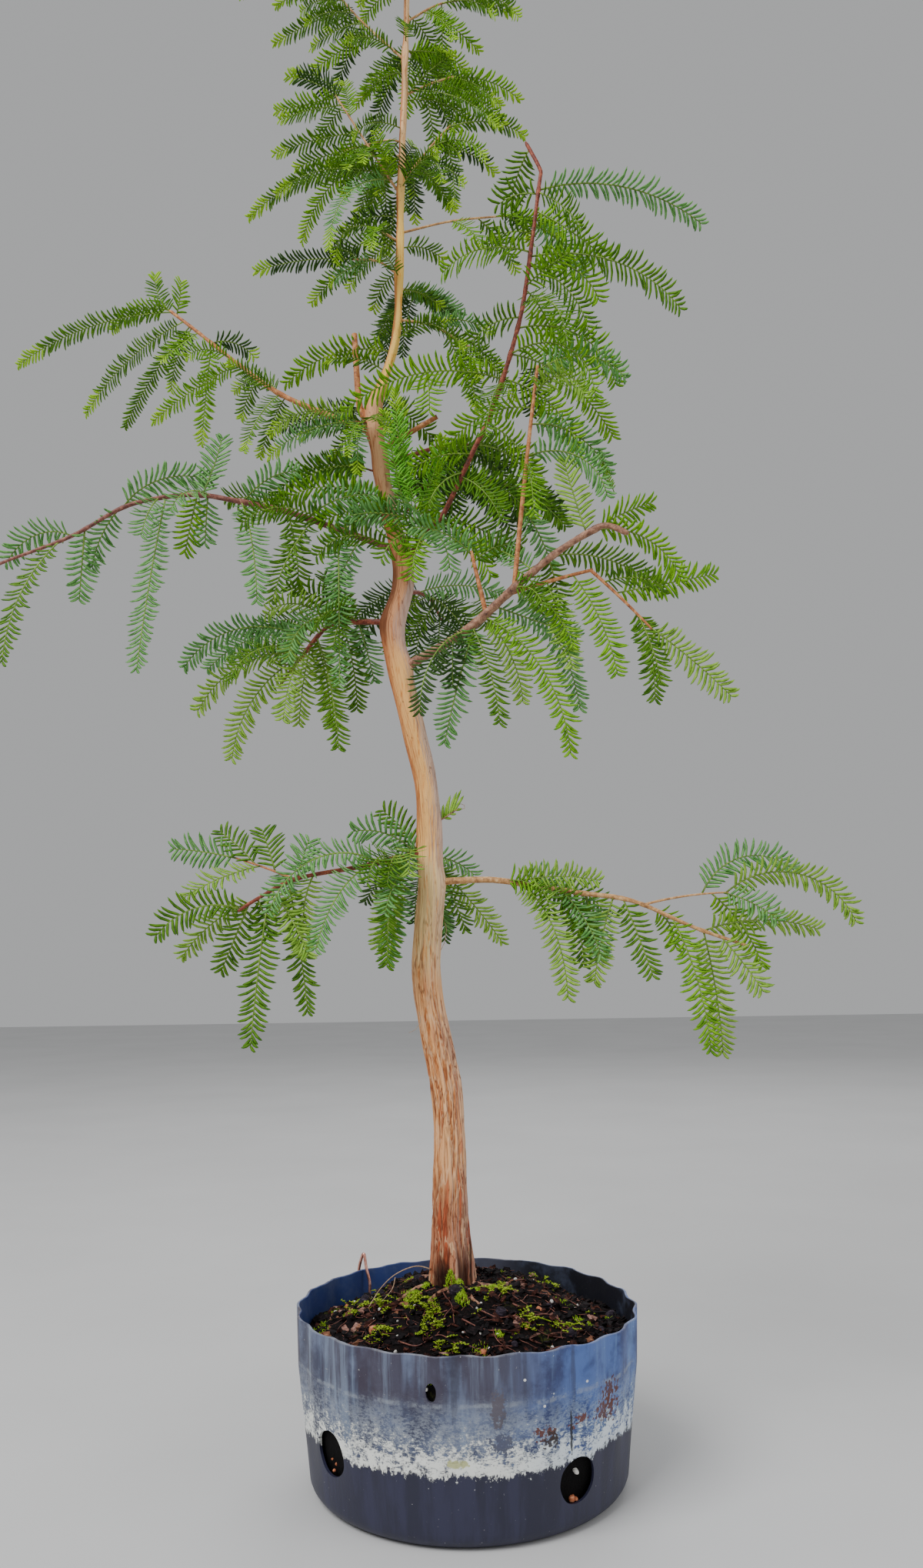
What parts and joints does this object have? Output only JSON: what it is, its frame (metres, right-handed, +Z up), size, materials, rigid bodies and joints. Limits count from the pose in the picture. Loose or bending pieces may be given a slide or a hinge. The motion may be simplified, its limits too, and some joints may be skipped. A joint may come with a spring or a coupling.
{
  "type": "bald cypress bonsai in a nursery pot",
  "caption": "Tall slender bald cypress bonsai with feathery needle sprays on drooping boughs, standing in a low black plastic pot filled with bark soil.",
  "frame": {"origin": "middle of the pot's flat underside", "axes": "+Z up along the trunk, +X to the viewer's right and -Y towards the side the tree is seen from"},
  "size_m": [0.7816, 0.3409, 1.5562],
  "materials": {
    "bark": "fibrous orange-tan bark with red-brown fissures and grey ridges",
    "twig_bark": "thin smooth red-brown bark",
    "needles": "soft flat green needles, slightly glossy",
    "pot_plastic": "black plastic faded to slate blue, with a white mineral crust",
    "soil_mix": "damp bark chips and peat with pumice and moss",
    "copper": "bare copper wire, a little dull"
  },
  "bodies": {
    "root": {"pot": "pot_plastic", "soil": "soil_mix", "rim_wire": "copper", "trunk": "bark", "dead_stub": "twig_bark", "small_stub": "twig_bark", "bough_right_low": "twig_bark", "bough_left_low": "twig_bark", "bough_back_low": "twig_bark", "bough_left_inner": "twig_bark", "bough_left_mid": "twig_bark", "bough_right_mid": "twig_bark", "bough_back_mid": "twig_bark", "bough_left_high": "twig_bark", "bough_back_high": "twig_bark", "bough_back_right": "twig_bark", "bough_right_high": "twig_bark", "mass_right_low": "needles", "mass_left_low": "needles", "mass_back_low": "needles", "mass_left_inner": "needles", "mass_left_mid": "needles", "mass_right_mid": "needles", "mass_back_mid": "needles", "mass_left_high": "needles", "mass_back_high": "needles", "mass_back_right": "needles", "mass_right_high": "needles", "mass_front_tuft": "needles", "mass_back_tuft": "needles", "mass_upright_tuft": "needles", "mass_front_tuft_low": "needles", "mass_left_tuft": "needles", "mass_trunk_twiglet": "needles", "mass_leader_right_low": "needles", "mass_leader_left_low": "needles", "mass_leader_back_low": "needles", "mass_leader_left_a": "needles", "mass_leader_right_a": "needles", "mass_leader_left_b": "needles", "mass_leader_right_b": "needles", "mass_leader_back_mid": "needles", "mass_leader_left_c": "needles", "mass_leader_right_c": "needles", "mass_leader_left_d": "needles", "mass_leader_back_high": "needles", "mass_leader_right_d": "needles", "mass_leader_left_e": "needles", "mass_leader_right_e": "needles", "mass_tip": "needles"}
  },
  "joints": []
}
